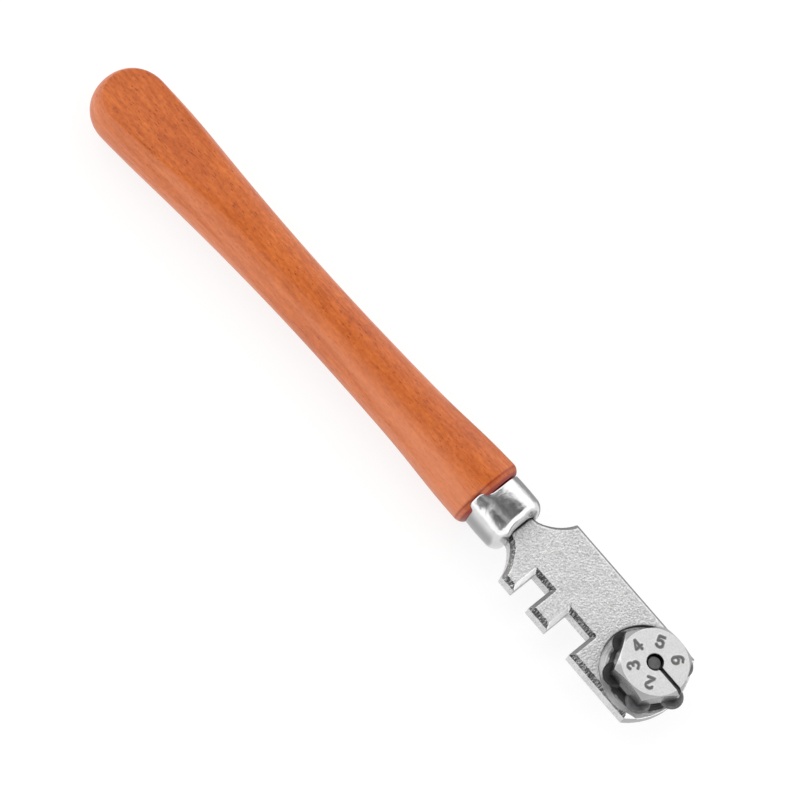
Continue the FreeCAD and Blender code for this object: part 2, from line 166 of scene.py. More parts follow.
def with_modifiers(mesh, *steps):
    """Mesh after modifiers. A step is (type, settings)."""
    holder = bpy.data.objects.new("work", mesh)
    bpy.context.scene.collection.objects.link(holder)
    for kind, settings in steps:
        modifier = holder.modifiers.new(kind.lower(), kind)
        for key, value in settings.items():
            setattr(modifier, key, value)
    bpy.context.view_layer.update()
    result = bpy.data.meshes.new_from_object(holder.evaluated_get(bpy.context.evaluated_depsgraph_get()))
    bpy.data.objects.remove(holder)
    return result


def remeshed(mesh, voxel, smoothing=0):
    """Even skin of small quads over a closed mesh, which also softens its edges."""
    steps = [("REMESH", {"mode": "VOXEL", "voxel_size": voxel, "adaptivity": 0.0})]
    if smoothing:
        steps.append(("SMOOTH", {"factor": 0.5, "iterations": smoothing}))
    return with_modifiers(mesh, *steps)


def points_of(mesh):
    """Vertex positions as an array."""
    values = np.zeros(len(mesh.vertices) * 3)
    mesh.vertices.foreach_get("co", values)
    return values.reshape(-1, 3)


def normals_of(mesh):
    """Vertex normals as an array."""
    values = np.zeros(len(mesh.vertices) * 3)
    mesh.vertex_normals.foreach_get("vector", values)
    return values.reshape(-1, 3)


def put_points(mesh, points):
    """Write vertex positions back."""
    mesh.vertices.foreach_set("co", np.ascontiguousarray(points).ravel())
    mesh.update()


def pebble(points, size, seed):
    """Smooth random height at each point, about -1 to 1, with lumps of one size."""
    scaled = points / size + seed
    return np.array([noise.noise(Vector(point)) for point in scaled])


def smooth_step(values, start, end):
    """0 before start, 1 after end, smooth between."""
    share = np.clip((values - start) / (end - start), 0.0, 1.0)
    return share * share * (3.0 - 2.0 * share)


def natural_spline(knots, values, at):
    """Cubic curve through the values with no bend at its ends."""
    knots, values = np.array(knots, float), np.array(values, float)
    count = len(knots)
    gaps = np.diff(knots)
    system, right = np.eye(count), np.zeros(count)
    slopes = np.diff(values) / gaps
    for row in range(1, count - 1):
        system[row, row - 1 : row + 2] = gaps[row - 1], 2 * (gaps[row - 1] + gaps[row]), gaps[row]
        right[row] = 6 * (slopes[row] - slopes[row - 1])
    bends = np.linalg.solve(system, right)
    span = np.clip(np.searchsorted(knots, at) - 1, 0, count - 2)
    gap, before, after = gaps[span], at - knots[span], knots[span + 1] - at
    cubic = (bends[span] * after**3 + bends[span + 1] * before**3) / (6 * gap)
    linear = (values[span] / gap - bends[span] * gap / 6) * after
    linear += (values[span + 1] / gap - bends[span + 1] * gap / 6) * before
    return cubic + linear


# ---------------------------------------------------------------- handle

SHOULDER_BEHIND_PIVOT = 47.7
HANDLE_TURN = math.radians(1.8)
HANDLE_LENGTH = 117.5
BUTT_RADIUS = 8.6
BUTT_POWER = 2.12
BUTT_DRIFT = -0.35
DRIFT_START = 92.0
SHOULDER_ROUND = 2.2
STATION_BACKS = (1.9, 8.4, 18.4, 31.4, 52.4, 71.4, 88.4, 100.4, 108.9)
STATION_RADII = (8.2, 7.98, 7.3, 6.82, 6.58, 6.95, 7.75, 8.4, 8.6)
FLAT_HEIGHT = 4.7
FLAT_RISE = 3.0
FLAT_LENGTH = 60.0
CRISP_RIDGE = 0.10
RIDGE_FADE = 0.5
FADE_START = 12.0
FADE_END = 50.0
SPIGOT_RADIUS = 6.1
SPIGOT_LENGTH = 8.2
SPIGOT_ROUND = 2.4


def handle_radius(back):
    """Radius of the turned handle at distances behind its shoulder."""
    centre = HANDLE_LENGTH - BUTT_RADIUS
    rounded = STATION_BACKS[0]
    body = natural_spline(STATION_BACKS, STATION_RADII, np.clip(back, rounded, centre))
    past = np.clip(back - centre, 0.0, BUTT_RADIUS)
    butt = (BUTT_RADIUS**BUTT_POWER - past**BUTT_POWER) ** (1 / BUTT_POWER)
    inset = np.clip(rounded - back, 0.0, rounded)
    shoulder = STATION_RADII[0] - SHOULDER_ROUND + np.sqrt(SHOULDER_ROUND**2 - inset**2)
    radius = np.where(back > centre, butt, body)
    return np.where(back < rounded, shoulder, radius)


def make_handle(material):
    """Turned grip with two thumb flats whose ridges are crisp at the butt and fade towards the waist."""
    segments = 160
    butt_turns = np.linspace(math.pi / 2, 0.002, 40)
    centre = HANDLE_LENGTH - BUTT_RADIUS
    butt_backs = centre + BUTT_RADIUS * np.cos(butt_turns)
    shoulder_backs = STATION_BACKS[0] * (1 - np.cos(np.linspace(0.0, math.pi / 2, 12)))
    body_backs = np.linspace(STATION_BACKS[0], centre, 300)[1:-1]
    backs = np.concatenate([shoulder_backs, body_backs, butt_backs])
    radii = handle_radius(backs)
    turns = np.linspace(0.0, 2 * math.pi, segments, endpoint=False)
    flat = FLAT_HEIGHT + (HANDLE_LENGTH + FLAT_RISE - backs) * FLAT_RISE / (FLAT_LENGTH + FLAT_RISE)
    softness = CRISP_RIDGE + RIDGE_FADE * smooth_step(HANDLE_LENGTH - backs, FADE_START, FADE_END)
    rings = []
    for turn in np.linspace(0.0, math.pi / 2, 8):
        back = SPIGOT_ROUND * (1 - math.sin(turn)) - SPIGOT_LENGTH
        rings.append(ring_points(back, SPIGOT_RADIUS - SPIGOT_ROUND * (1 - math.cos(turn)), turns))
    rings = rings[::-1]
    rings.append(ring_points(0.0, SPIGOT_RADIUS, turns))
    ear = ear_share(turns)
    for back, radius, height, soft in zip(backs, radii, flat, softness):
        pressed = max(radius - EAR_SEAT_RADIUS, 0.0) * ear * (1 - smooth_step(back, 1.4, 2.3))
        across, up = (radius - pressed) * np.cos(turns), (radius - pressed) * np.sin(turns)
        lift = -soft * np.logaddexp(-np.abs(up) / soft, -height / soft)
        lift = np.clip(lift, 0.0, None)
        across = across + BUTT_DRIFT * smooth_step(back, DRIFT_START, HANDLE_LENGTH)
        rings.append(np.stack([np.full(segments, -back), across, np.sign(up) * lift], axis=1))
    mesh = grid_mesh("handle_wood", rings)
    shoulder = PIVOT - Vector((SHOULDER_BEHIND_PIVOT, 0, 0))
    mesh.transform(Matrix.Translation(shoulder) @ Matrix.Rotation(HANDLE_TURN, 4, "Z"))
    merged(mesh)
    piece = new_object("handle_wood", mesh, material)
    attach(piece, "tool")
    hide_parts("handle")


def ear_share(turns):
    """1 in the middle of the ferrule's ear and 0 away from it, at angles round the axis."""
    gap = (turns - EAR_TURN + math.pi) % (2 * math.pi) - math.pi
    return np.exp(-((gap / EAR_SPREAD) ** 4))


def ring_points(back, radius, turns):
    """Ring of points round the handle's axis."""
    return np.stack([np.full(len(turns), -back), radius * np.cos(turns), radius * np.sin(turns)], axis=1)


# ---------------------------------------------------------------- ferrule

FERRULE_FRONT = 38.35
FERRULE_LENGTH = 9.25
FERRULE_RADIUS = 7.0
FERRULE_WALL = 0.6
FERRULE_CURVE = 3.0
FERRULE_BARREL = 0.06
FERRULE_DISH = 0.85
RIM_ROUND = 0.16
EAR_LENGTH = 1.5
EAR_TURN = math.radians(134.0)
EAR_SPREAD = math.radians(21.0)
EAR_LIFT = 0.22
EAR_SEAT_RADIUS = 6.75
NECK_HALF_WIDTH = 3.6
NECK_HALF_THICK = 2.125
NECK_GAP = 0.35
NECK_REACH = 0.3


def neck_hole(turns):
    """Radius of the rounded rectangular hole that the head's neck goes into, at angles round the axis."""
    wide, high = NECK_HALF_WIDTH + NECK_GAP, NECK_HALF_THICK + NECK_GAP
    return (np.abs(np.cos(turns) / wide) ** 7 + np.abs(np.sin(turns) / high) ** 7) ** (-1 / 7)


def dome_rings(turns, front, curve, flat_radius, start_radius, count):
    """Rings over a cup's front from a hole out to the wall: a flat, then a quarter round."""
    past = np.clip((start_radius - flat_radius) / curve, -1.0, 0.98)
    first = np.where(past > 0, np.arcsin(np.clip(past, 0.0, 1.0)), past)
    rings = []
    for share in np.linspace(0.0, 1.0, count):
        bend = first + (math.pi / 2 - first) * share
        radius = flat_radius + curve * np.where(bend > 0, np.sin(bend), bend)
        back = front + curve * np.where(bend > 0, 1 - np.cos(bend), 0.0)
        beside, above = np.abs(radius * np.cos(turns)), np.abs(radius * np.sin(turns))
        sink = FERRULE_DISH * np.exp(-((beside / NECK_HALF_WIDTH) ** 6)) * smooth_step(above, 0.5, 1.5)
        rings.append(tube_ring(back + sink * np.cos(np.maximum(bend, 0.0)), radius, turns))
    return rings


def make_ferrule(material):
    """Drawn cup with a domed front, a slight barrel, and a rim whose ear is dressed over the wood."""
    segments = 224
    turns = np.linspace(0.0, 2 * math.pi, segments, endpoint=False)
    ear = ear_share(turns)
    wave = 0.05 * np.sin(3 * turns + 0.6) + 0.03 * np.sin(7 * turns)
    rim = FERRULE_FRONT + FERRULE_LENGTH - 0.08 + EAR_LENGTH * ear + wave
    inner_curve = FERRULE_CURVE - FERRULE_WALL
    flat_radius = FERRULE_RADIUS - FERRULE_CURVE
    hole = neck_hole(turns)
    rings = [tube_ring(FERRULE_FRONT + FERRULE_DISH + FERRULE_WALL, hole - 0.08, turns)]
    rings.append(tube_ring(FERRULE_FRONT + FERRULE_DISH + 0.2, hole - 0.06, turns))
    rings += dome_rings(turns, FERRULE_FRONT, FERRULE_CURVE, flat_radius, hole + 0.06, 26)
    wall_start = FERRULE_FRONT + FERRULE_CURVE
    for share in np.linspace(0.06, 1.0, 26):
        back = wall_start * (1 - share) + (rim - RIM_ROUND) * share
        rings.append(tube_ring(back, outer_radius(back, ear), turns))
    for turn in np.linspace(0.3, math.pi - 0.3, 7):
        back = rim - RIM_ROUND + RIM_ROUND * math.sin(turn)
        middle = outer_radius(back, ear) - FERRULE_WALL / 2
        rings.append(tube_ring(back, middle + FERRULE_WALL / 2 * math.cos(turn), turns))
    for share in np.linspace(1.0, 0.0, 12):
        back = wall_start * (1 - share) + (rim - RIM_ROUND) * share
        rings.append(tube_ring(back, outer_radius(back, ear) - FERRULE_WALL, turns))
    inner = dome_rings(turns, FERRULE_FRONT + FERRULE_WALL, inner_curve, flat_radius, hole + 0.1, 10)
    rings += inner[:0:-1]
    rings.append(rings[0])
    mesh = grid_mesh("ferrule_cup", rings, closed_ends=False)
    mesh.transform(Matrix.Translation(PIVOT))
    merged(mesh)
    piece = new_object("ferrule_cup", mesh, material)
    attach(piece, "tool")
    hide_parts("ferrule")


def outer_radius(back, ear):
    """Outside radius of the ferrule: a slight barrel, lifted a little at its ear."""
    along = np.clip((back - FERRULE_FRONT - FERRULE_CURVE) / (FERRULE_LENGTH - FERRULE_CURVE), 0.0, 1.0)
    barrel = FERRULE_RADIUS + FERRULE_BARREL * np.sin(math.pi * along) - 0.03 * along**3
    reach = smooth_step(back, SHOULDER_BEHIND_PIVOT - 1.6, SHOULDER_BEHIND_PIVOT + 0.9)
    return barrel + EAR_LIFT * reach * ear


def tube_ring(backs, radius, turns):
    """Ring round the head's axis whose distance behind the pivot may vary round it."""
    backs = np.asarray(backs) * np.ones(len(turns))
    return np.stack([-backs, radius * np.cos(turns), radius * np.sin(turns)], 1)


# ---------------------------------------------------------------- head casting

CASTING_VOXEL = 0.12
RECESS_RADIUS = 9.95
RING_PITCH = 0.55


def make_head(material):
    """Casting with soft edges, a fine pebbled skin, filed bevels, and a turned recess."""
    solid = node_mesh("head_casting")
    points = points_of(solid)
    neck_end = np.abs(points[:, 0] - PIVOT.x + FERRULE_FRONT) < 0.02
    points[neck_end, 0] -= FERRULE_DISH + NECK_REACH
    put_points(solid, points)
    mesh = remeshed(solid, CASTING_VOXEL, smoothing=2)
    points, normals = points_of(mesh), normals_of(mesh)
    local = points - np.array(PIVOT)
    far = np.hypot(local[:, 0], local[:, 1])
    top = node_box("head_casting")[1].z
    in_recess = (far < RECESS_RADIUS + 0.1) & (local[:, 2] > 0) & (local[:, 2] < top - 0.4)
    floor = in_recess & (normals[:, 2] > 0.9)
    skin = (np.abs(normals[:, 2]) > 0.93) & ~in_recess
    bevel = (normals[:, 2] > 0.4) & (normals[:, 2] < 0.9) & ~in_recess
    worms = pebble(points * np.array([1.0, 0.8, 1.0]), 0.26, 3.1) * 0.085 + pebble(points, 0.6, 17.7) * 0.02
    filed = pebble(points * np.array([1.0, 0.3, 0.3]), 0.17, 8.3) * 0.12
    rings = 0.016 * np.sin(2 * math.pi * far / RING_PITCH) * (far < RECESS_RADIUS - 1.0)
    rough_bevel = bevel & (normals[:, 1] < -0.3) & (normals[:, 0] < 0.3)
    height = np.where(floor, rings, np.where(rough_bevel, filed, np.where(skin, worms, 0.3 * worms)))
    height = np.where(in_recess & ~floor, 0.0, height)
    put_points(mesh, points + normals * height[:, None])
    piece = new_object("head_plate", mesh, material)
    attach(piece, "tool")
    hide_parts("head_casting")


# ---------------------------------------------------------------- turret

CAP_VOXEL = 0.075
DIGIT_HEIGHT = 2.3
DIGIT_WIDTH = 1.5
DIGIT_CIRCLE = 4.5
STAMP_SHIFTS = {2: (0.3, 0.0), 3: (0.0, -0.25), 4: (-0.35, -0.6), 5: (-0.2, -0.1), 6: (0.35, 0.15)}


def arc(centre, radii, start, end, steps=14):
    """Points along part of an ellipse, angles in degrees."""
    turns = np.radians(np.linspace(start, end, steps))
    return [(centre[0] + radii[0] * math.cos(turn), centre[1] + radii[1] * math.sin(turn)) for turn in turns]


def digit_strokes(digit):
    """Centre lines of a plain digit in a box from 0 to 1 each way."""
    if digit == 2:
        return [arc((0.5, 0.74), (0.46, 0.26), 165, -30) + [(0.06, 0.0), (0.98, 0.0)]]
    if digit == 3:
        return [arc((0.48, 0.75), (0.42, 0.25), 155, -85), arc((0.48, 0.27), (0.5, 0.27), 85, -155)]
    if digit == 4:
        return [[(0.72, 0.0), (0.72, 1.0), (0.02, 0.3), (1.0, 0.3)]]
    if digit == 5:
        return [[(0.92, 1.0), (0.16, 1.0), (0.1, 0.55)] + arc((0.48, 0.32), (0.5, 0.32), 130, -150)]
    return [arc((0.56, 0.62), (0.5, 0.38), 55, 180) + arc((0.5, 0.3), (0.46, 0.3), 170, 530, 26)]


def digit_distance(points):
    """Distance from each top-face point to the nearest digit centre line."""
    segments = []
    for digit in range(2, 7):
        turn = math.radians(-60.0 * (digit - 1))
        outward = np.array([math.cos(turn), math.sin(turn)])
        sideways = np.array([math.sin(turn), -math.cos(turn)])
        for stroke in digit_strokes(digit):
            path = []
            for across, up in stroke:
                reach = DIGIT_CIRCLE + (up - 0.5) * DIGIT_HEIGHT
                path.append(outward * reach + sideways * (across - 0.5) * DIGIT_WIDTH + STAMP_SHIFTS[digit])
            segments.extend(zip(path[:-1], path[1:]))
    nearest = np.full(len(points), 1e3)
    for start, end in segments:
        run = end - start
        share = np.clip(((points - start) @ run) / max(run @ run, 1e-9), 0.0, 1.0)
        gap = np.linalg.norm(points - start - share[:, None] * run, axis=1)
        nearest = np.minimum(nearest, gap)
    return nearest


def make_cap(material):
    """Hexagonal cap with stamped digits, softened corners and a fine sawn grain on its face."""
    mesh = remeshed(node_mesh("turret_cap"), CAP_VOXEL, smoothing=1)
    points, normals = points_of(mesh), normals_of(mesh)
    local = points - np.array(PIVOT)
    top = node_box("turret_cap")[1].z
    face = (local[:, 2] > top - 0.05) & (normals[:, 2] > 0.7)
    gap = np.full(len(points), 1e3)
    gap[face] = digit_distance(local[face, :2])
    sunk = 0.22 * (1 - smooth_step(gap, 0.16, 0.38))
    raised = 0.03 * np.exp(-(((gap - 0.42) / 0.1) ** 2))
    grain = np.where(face, pebble(points, 0.22, 5.5) * 0.010, 0.0)
    points[:, 2] += raised - sunk + grain
    put_points(mesh, points)
    ink = mesh.attributes.new("stamped", "FLOAT", "POINT")
    ink.data.foreach_set("value", 1 - smooth_step(gap, 0.12, 0.40))
    piece = new_object("numbered_cap", mesh, material)
    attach(piece, "turret")
    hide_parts("turret_cap")


def make_wheels(material):
    """Six ground wheels with a V edge, a bevelled bore and a fine face ring."""
    for number, node in enumerate(WHEEL_NAMES, start=1):
        low, high = node_box(node)
        centre = (low + high) / 2
        radius, half = (high.x - low.x) / 2, (high.z - low.z) / 2
        bore, edge, ease = 0.54, 0.42, 0.05
        profile = [
            (-half + ease, bore), (-half, bore + ease), (-half, radius - edge - ease),
            (-half + 0.04, radius - edge), (-0.03, radius - 0.01), (0.0, radius), (0.03, radius - 0.01),
            (half - 0.04, radius - edge), (half, radius - edge - ease),
            (half, bore + ease), (half - ease, bore),
        ]
        mesh = turned_mesh(f"wheel_disc_{number}", profile, centre)
        piece = new_object(f"wheel_disc_{number}", mesh, material)
        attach(piece, f"wheel_{number}")
        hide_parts(node)


def make_eased(name, node, body, voxel, material):
    """Small hard piece with its sharp edges eased."""
    mesh = remeshed(node_mesh(node), voxel, smoothing=2)
    piece = new_object(name, mesh, material)
    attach(piece, body)
    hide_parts(node)


# ---------------------------------------------------------------- materials


def new_material(name, metallic, roughness, color):
    """Principled material, its node tree and its shader."""
    material = bpy.data.materials.new(name)
    material.use_nodes = True
    tree = material.node_tree
    shader = tree.nodes["Principled BSDF"]
    shader.inputs["Metallic"].default_value = metallic
    shader.inputs["Roughness"].default_value = roughness
    shader.inputs["Base Color"].default_value = (*color, 1.0)
    return material, tree, shader


def add(tree, kind, **settings):
    """New node; a setting named after an input sets that input."""
    node = tree.nodes.new(f"ShaderNode{kind}")
    for key, value in settings.items():
        if key in node.inputs:
            node.inputs[key].default_value = value
        else:
            setattr(node, key, value)
    return node


def object_coords(tree, scale=(1, 1, 1), rotation=(0, 0, 0)):
    """Object coordinates in metres, turned and scaled."""
    coords = add(tree, "TexCoord")
    mapping = add(tree, "Mapping")
    mapping.inputs["Scale"].default_value = scale
    mapping.inputs["Rotation"].default_value = rotation
    tree.links.new(coords.outputs["Object"], mapping.inputs["Vector"])
    return mapping.outputs["Vector"]


def noise_node(tree, vector, scale, detail=3.0, roughness=0.5, distortion=0.0):
    """Noise texture on a vector."""
    node = add(tree, "TexNoise", Scale=scale, Detail=detail, Roughness=roughness, Distortion=distortion)
    tree.links.new(vector, node.inputs["Vector"])
    return node.outputs["Fac"]


def ramp(tree, value, stops):
    """Colour ramp; stops are (position, colour)."""
    node = add(tree, "ValToRGB")
    elements = node.color_ramp.elements
    while len(elements) < len(stops):
        elements.new(0.5)
    for element, (position, color) in zip(elements, stops):
        element.position = position
        element.color = (*color, 1.0)
    tree.links.new(value, node.inputs["Fac"])
    return node.outputs["Color"]


def grey(level):
    """Grey as a colour."""
    return (level, level, level)


def mix(tree, factor, first, second, blend="MIX"):
    """Blend two colours; each may be a socket or a colour."""
    node = add(tree, "Mix", data_type="RGBA", blend_type=blend)
    for socket, value in ((node.inputs[0], factor), (node.inputs[6], first), (node.inputs[7], second)):
        if isinstance(value, bpy.types.NodeSocket):
            tree.links.new(value, socket)
        elif isinstance(value, tuple):
            socket.default_value = (*value, 1.0)
        else:
            socket.default_value = value
    return node.outputs[2]


def bump(tree, shader, height, strength, distance):
    """Bump from a height, chained after any bump that is there already."""
    node = add(tree, "Bump", Strength=strength, Distance=distance)
    tree.links.new(height, node.inputs["Height"])
    links = shader.inputs["Normal"].links
    if links:
        tree.links.new(links[0].from_socket, node.inputs["Normal"])
    tree.links.new(node.outputs["Normal"], shader.inputs["Normal"])


def product(tree, first, second):
    """Product of two values."""
    return math_node(tree, "MULTIPLY", first, second)


def band(tree, value, low, high, soft):
    """1 where the value lies between two limits, with soft edges."""
    above = map_range(tree, value, low - soft, low, 0.0, 1.0)
    return product(tree, above, map_range(tree, value, high, high + soft, 1.0, 0.0))


def math_node(tree, operation, first, second=0.0):
    """Result of one sum; each term may be a socket or a number."""
    node = add(tree, "Math", operation=operation)
    for socket, value in zip(node.inputs, (first, second)):
        if isinstance(value, bpy.types.NodeSocket):
            tree.links.new(value, socket)
        else:
            socket.default_value = value
    return node.outputs["Value"]


def map_range(tree, value, low, high, first, last):
    """Value moved from one range to another and held at its ends."""
    node = add(tree, "MapRange", interpolation_type="SMOOTHSTEP")
    for name, number in (("From Min", low), ("From Max", high), ("To Min", first), ("To Max", last)):
        node.inputs[name].default_value = number
    tree.links.new(value, node.inputs["Value"])
    return node.outputs["Result"]


def normal_parts(tree):
    """X, Y and Z of the surface's normal in the piece's own axes."""
    coords = add(tree, "TexCoord")
    split = add(tree, "SeparateXYZ")
    tree.links.new(coords.outputs["Normal"], split.inputs["Vector"])
    return split.outputs


def pivot_distance(tree):
    """Distance from the turret's pivot in metres, seen from above."""
    shift = add(tree, "VectorMath", operation="SUBTRACT")
    shift.inputs[1].default_value = PIVOT * MM
    tree.links.new(object_coords(tree), shift.inputs[0])
    flat = add(tree, "VectorMath", operation="MULTIPLY")
    flat.inputs[1].default_value = (1.0, 1.0, 0.0)
    tree.links.new(shift.outputs["Vector"], flat.inputs[0])
    length = add(tree, "VectorMath", operation="LENGTH")
    tree.links.new(flat.outputs["Vector"], length.inputs[0])
    return length.outputs["Value"]


def wood_material():
    """Orange-brown stained hardwood under gloss lacquer: long grain, short dark pores, uneven stain, a painted
    pink sheen on the side facing -Y and painted dark red shade on the shoulder.
    """
    material, tree, shader = new_material("stained_wood", 0.0, 0.42, (0.7, 0.18, 0.05))
    turn = (0, 0, -HANDLE_TURN)
    fibre = noise_node(tree, object_coords(tree, (210, 1300, 1300), turn), 1.0, 4.0, 0.6, 0.2)
    streak = noise_node(tree, object_coords(tree, (22, 330, 330), turn), 1.0, 3.0, 0.5, 0.4)
    pores = noise_node(tree, object_coords(tree, (900, 3400, 3400), turn), 1.0, 2.0, 0.5)
    stain = noise_node(tree, object_coords(tree, (70, 110, 110), turn), 1.0, 3.0, 0.55)
    browns = [(0.30, (0.44, 0.094, 0.012)), (0.5, (0.545, 0.130, 0.020)), (0.70, (0.62, 0.162, 0.030))]
    base = ramp(tree, fibre, browns)
    bands = ramp(tree, streak, [(0.36, (0.84, 0.74, 0.68)), (0.60, (1.0, 1.0, 1.0))])
    color = mix(tree, 0.4, base, bands, "MULTIPLY")
    dots = ramp(tree, pores, [(0.28, (0.50, 0.36, 0.30)), (0.40, (1.0, 1.0, 1.0))])
    color = mix(tree, 0.9, color, dots, "MULTIPLY")
    cloud = ramp(tree, stain, [(0.32, (0.87, 0.76, 0.68)), (0.66, (1.0, 1.0, 1.0))])
    color = mix(tree, 0.8, color, cloud, "MULTIPLY")
    sheen_streak_share = map_range(tree, streak, 0.35, 0.6, 0.45, 1.0)
    mottle = noise_node(tree, object_coords(tree, (1000, 1500, 1500), turn), 1.0, 2.0, 0.5)
    patches = ramp(tree, mottle, [(0.36, (0.86, 0.80, 0.74)), (0.62, (1.0, 1.0, 1.0))])
    color = mix(tree, 1.0, color, patches, "MULTIPLY")
    # Painted sheen: the side facing -Y is painted pinker, as a soft reflection, broken up by the grain streaks.
    side = map_range(tree, normal_parts(tree)["Y"], -0.2, -0.8, 0.0, 0.5)
    color = mix(tree, product(tree, side, sheen_streak_share), color, (0.65, 0.235, 0.12))
    # Painted shade: the shoulder's rounding and its crease at the ferrule are painted dark red.
    color = mix(tree, shoulder_painted_shade(tree), color, (0.20, 0.012, 0.006))
    tree.links.new(color, shader.inputs["Base Color"])
    rough = ramp(tree, fibre, [(0.3, grey(0.46)), (0.7, grey(0.36))])
    tree.links.new(rough, shader.inputs["Roughness"])
    shader.inputs["Specular IOR Level"].default_value = 0.3
    shader.inputs["Coat Weight"].default_value = 0.14
    shader.inputs["Coat Roughness"].default_value = 0.2
    bump(tree, shader, fibre, 0.12, 0.0001)
    bump(tree, shader, pores, 0.10, 0.00005)
    return material


def shoulder_painted_shade(tree):
    """Share of painted dark red shade on the rounded shoulder: gathered at its two edges, where the curve
    starts and in the crease at the ferrule, thinner between them.
    """
    split = add(tree, "SeparateXYZ")
    tree.links.new(object_coords(tree), split.inputs["Vector"])
    start = (PIVOT.x - SHOULDER_BEHIND_PIVOT - 2.1) * MM
    across = map_range(tree, split.outputs["X"], start, start + 0.0021, 0.0, 1.0)
    shares = [(0.0, 0.0), (0.16, 0.8), (0.36, 0.35), (0.7, 0.35), (0.92, 0.95)]
    return ramp(tree, across, [(position, grey(share)) for position, share in shares])


# Heights and distances from the pivot, in metres, where the casting's painted light and shade and its grease
# change.
BACK_BEVEL = (0.0016, 0.0019)
RECESS_FLOOR = (0.0004, 0.0009)
RECESS_WALL = (0.0095, 0.0102)
GREASE_AND_SHADOW_EDGE = (0.0084, 0.0090)
GREASE_AND_SHADOW_RAGGED = 0.0012
FLOOR_EDGE = (0.0105, 0.0104)
EDGE_SOFT = 0.0001


def bevel_tones(tree, color, place, normal):
    """Colour with the bevels' painted light and shade: painted shade streaked like filing on the notched side,
    painted shade at the back, a painted white highlight in front and painted shade behind.
    """
    bevel = band(tree, normal["Z"], 0.35, 0.88, 0.06)
    streaks = noise_node(tree, object_coords(tree, (4200, 900, 900)), 1.0, 3.0, 0.6)
    filed = ramp(tree, streaks, [(0.38, grey(0.01)), (0.52, grey(0.09)), (0.66, grey(0.36))])
    # Painted shade: bevels on the notched side facing -Y are painted near black, in streaks like filing marks.
    notched_side = map_range(tree, normal["Y"], -0.25, -0.5, 0.0, 0.95)
    filed_side_shade = product(tree, notched_side, map_range(tree, normal["X"], 0.3, 0.15, 0.0, 1.0))
    color = mix(tree, product(tree, bevel, filed_side_shade), color, filed)
    # Painted shade: the low bevel at the back, facing +Y, is painted dark grey.
    lower = map_range(tree, place["Z"], *BACK_BEVEL, 1.0, 0.0)
    back_edge_shade = product(tree, lower, map_range(tree, normal["Y"], 0.25, 0.5, 0.0, 1.0))
    color = mix(tree, product(tree, bevel, back_edge_shade), color, grey(0.16))
    # Painted highlight: bevels facing +X are painted near white.
    front = map_range(tree, normal["X"], 0.4, 0.6, 0.0, 0.9)
    color = mix(tree, product(tree, bevel, front), color, grey(0.96))
    behind = map_range(tree, normal["X"], -0.4, -0.6, 0.0, 0.9)
    return mix(tree, product(tree, bevel, behind), color, grey(0.22))


def recess_tones(tree, color, place, normal):
    """Colour with painted light and shade on the upright walls and the recess: painted shade on walls facing +X
    and on the recess wall's -X side, a floor band painted bright as a highlight, and grease with painted shadow
    near the turret.
    """
    # Painted shade: upright walls facing +X are painted darker grey.
    wall = map_range(tree, normal["Z"], 0.35, 0.25, 0.0, 1.0)
    front = map_range(tree, normal["X"], 0.4, 0.6, 0.0, 0.8)
    color = mix(tree, product(tree, wall, front), color, grey(0.36))
    far = pivot_distance(tree)
    # Painted shade: the recess wall on the -X side, facing +X, is painted near black.
    rear = map_range(tree, place["X"], (PIVOT.x - 3.0) * MM, (PIVOT.x - 1.5) * MM, 1.0, 0.0)
    recess_wall_shade = product(tree, band(tree, far, *RECESS_WALL, EDGE_SOFT), rear)
    recess_wall_shade = product(tree, recess_wall_shade, map_range(tree, normal["X"], 0.1, 0.3, 0.0, 1.0))
    color = mix(tree, product(tree, wall, recess_wall_shade), color, grey(0.08))
    # Ragged edge of the grease and painted shadow round the turret.
    ragged = noise_node(tree, object_coords(tree), 900.0, 2.0, 0.5)
    edge = math_node(tree, "ADD", far, product(tree, ragged, GREASE_AND_SHADOW_RAGGED))
    level = map_range(tree, normal["Z"], 0.6, 0.8, 0.0, 1.0)
    near = product(tree, map_range(tree, edge, *GREASE_AND_SHADOW_EDGE, 1.0, 0.0), level)
    # Painted highlight: a band of the recess floor is painted white.
    floor = product(tree, band(tree, place["Z"], *RECESS_FLOOR, EDGE_SOFT), level)
    inside = map_range(tree, far, *FLOOR_EDGE, 0.0, 1.0)
    color = mix(tree, product(tree, floor, inside), color, grey(1.0))
    # Grease with painted shadow: the floor near the turret is painted dark grey.
    return mix(tree, near, color, grey(0.20))


